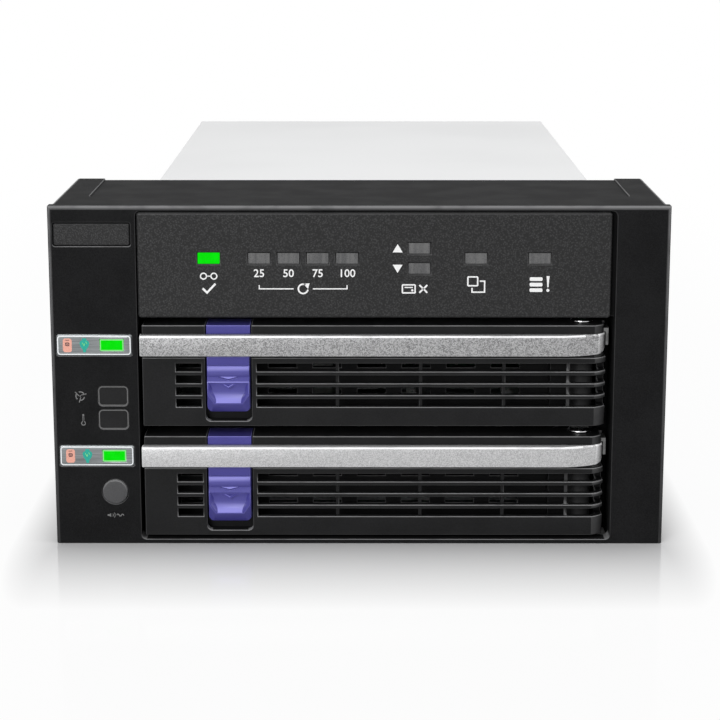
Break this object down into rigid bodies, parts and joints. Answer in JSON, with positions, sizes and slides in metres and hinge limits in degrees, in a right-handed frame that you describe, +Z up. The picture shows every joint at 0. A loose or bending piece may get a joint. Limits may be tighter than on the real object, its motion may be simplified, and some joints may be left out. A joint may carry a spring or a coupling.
{
  "type": "hot swap drive cage",
  "caption": "Hot swap drive cage with lever-door trays, sliding latches, status display, backplane and cooling fan in a sheet metal case behind a moulded bezel.",
  "frame": {"origin": "centre of the footprint, on the surface the cage stands on", "axes": "+Z up, -Y the side with the tray doors, +X to the right seen from the front"},
  "size_m": [0.149, 0.196, 0.084],
  "materials": {
    "bezel_plastic": "fine moulded texture",
    "panel_plastic": "coarse grain",
    "label_plastic": "coarse grain",
    "door_plastic": "satin",
    "bar_silver": "fine sparkle paint",
    "latch_purple": "satin",
    "tray_plastic": "satin",
    "tray_steel": "zinc plated",
    "pin_chrome": "bright",
    "strip_silver": "brushed",
    "lens_green": "lit",
    "lens_dark": "smoked",
    "window_dark": "smoked",
    "button_grey": "satin",
    "case_steel": "zinc plated",
    "cover_paint": "satin",
    "screw_steel": "plated",
    "board_green": "solder mask",
    "part_black": "moulded",
    "port_white": "moulded",
    "led_body": "clear",
    "sink_metal": "anodised"
  },
  "bodies": {
    "cage": {"bezel_frame": "bezel_plastic", "label_plate": "label_plastic", "display_panel": "panel_plastic", "ok_lens": "lens_green", "display_lenses": "lens_dark", "display_leds": "led_body", "display_board": "board_green", "display_screws": "screw_steel", "board_header": "part_black", "alarm_windows": "window_dark", "status_board": "board_green", "status_board_parts": "led_body", "status_screws": "screw_steel", "case_shell": "case_steel", "top_cover": "cover_paint", "cover_screws": "screw_steel", "rear_panel": "case_steel", "deck_plate": "case_steel", "left_bracket": "case_steel", "right_bracket": "case_steel", "bracket_screws": "screw_steel", "bezel_screws": "screw_steel", "tray_guides": "tray_plastic", "standoffs": "screw_steel", "controller_board": "board_green", "controller_screws": "screw_steel", "controller_chips": "part_black", "heat_sink": "sink_metal", "capacitors": "sink_metal", "buzzer": "part_black", "link_plug": "part_black", "backplane": "board_green", "drive_sockets": "part_black", "port_board": "board_green", "power_port": "port_white", "data_port": "part_black", "fan_frame": "part_black", "fan_screws": "screw_steel", "lower_status_strip": "strip_silver", "lower_status_lens": "lens_green", "upper_status_strip": "strip_silver", "upper_status_lens": "lens_green"},
    "fan_rotor": {"fan_rotor": "part_black"},
    "mute_button": {"mute_button": "button_grey"},
    "lower_tray": {"lower_tray_frame": "tray_plastic", "lower_tray_plate": "tray_steel", "lower_hinge_pin": "pin_chrome"},
    "lower_lever": {"lower_lever_door": "door_plastic", "lower_lever_bar": "bar_silver", "lower_lever_hook": "tray_steel"},
    "lower_latch": {"lower_latch": "latch_purple"},
    "upper_tray": {"upper_tray_frame": "tray_plastic", "upper_tray_plate": "tray_steel", "upper_hinge_pin": "pin_chrome"},
    "upper_lever": {"upper_lever_door": "door_plastic", "upper_lever_bar": "bar_silver", "upper_lever_hook": "tray_steel"},
    "upper_latch": {"upper_latch": "latch_purple"}
  },
  "joints": [
    {"name": "lower_tray_slide", "type": "slide", "parent": "cage", "child": "lower_tray", "axis": [0, -1, 0], "range_m": [0, 0.165]},
    {"name": "lower_lever_hinge", "type": "hinge", "parent": "lower_tray", "child": "lower_lever", "pos_m": [0.0544, -0.0896, 0.01465], "axis": [0, 0, 1], "range_deg": [0, 60]},
    {"name": "lower_latch_slide", "type": "slide", "parent": "lower_lever", "child": "lower_latch", "axis": [0, 0, -1], "range_m": [0, 0.0022], "stiffness_N_per_m": 250, "springref_m": -0.002},
    {"name": "upper_tray_slide", "type": "slide", "parent": "cage", "child": "upper_tray", "axis": [0, -1, 0], "range_m": [0, 0.165]},
    {"name": "upper_lever_hinge", "type": "hinge", "parent": "upper_tray", "child": "upper_lever", "pos_m": [0.0544, -0.0896, 0.04235], "axis": [0, 0, 1], "range_deg": [0, 60]},
    {"name": "upper_latch_slide", "type": "slide", "parent": "upper_lever", "child": "upper_latch", "axis": [0, 0, -1], "range_m": [0, 0.0022], "stiffness_N_per_m": 250, "springref_m": -0.002},
    {"name": "mute_press", "type": "slide", "parent": "cage", "child": "mute_button", "axis": [0, 1, 0], "range_m": [0, 0.0008], "stiffness_N_per_m": 500, "springref_m": -0.0006},
    {"name": "fan_spin", "type": "hinge", "parent": "cage", "child": "fan_rotor", "pos_m": [-0.019, 0.087, 0.036], "axis": [0, 1, 0], "continuous": true}
  ]
}
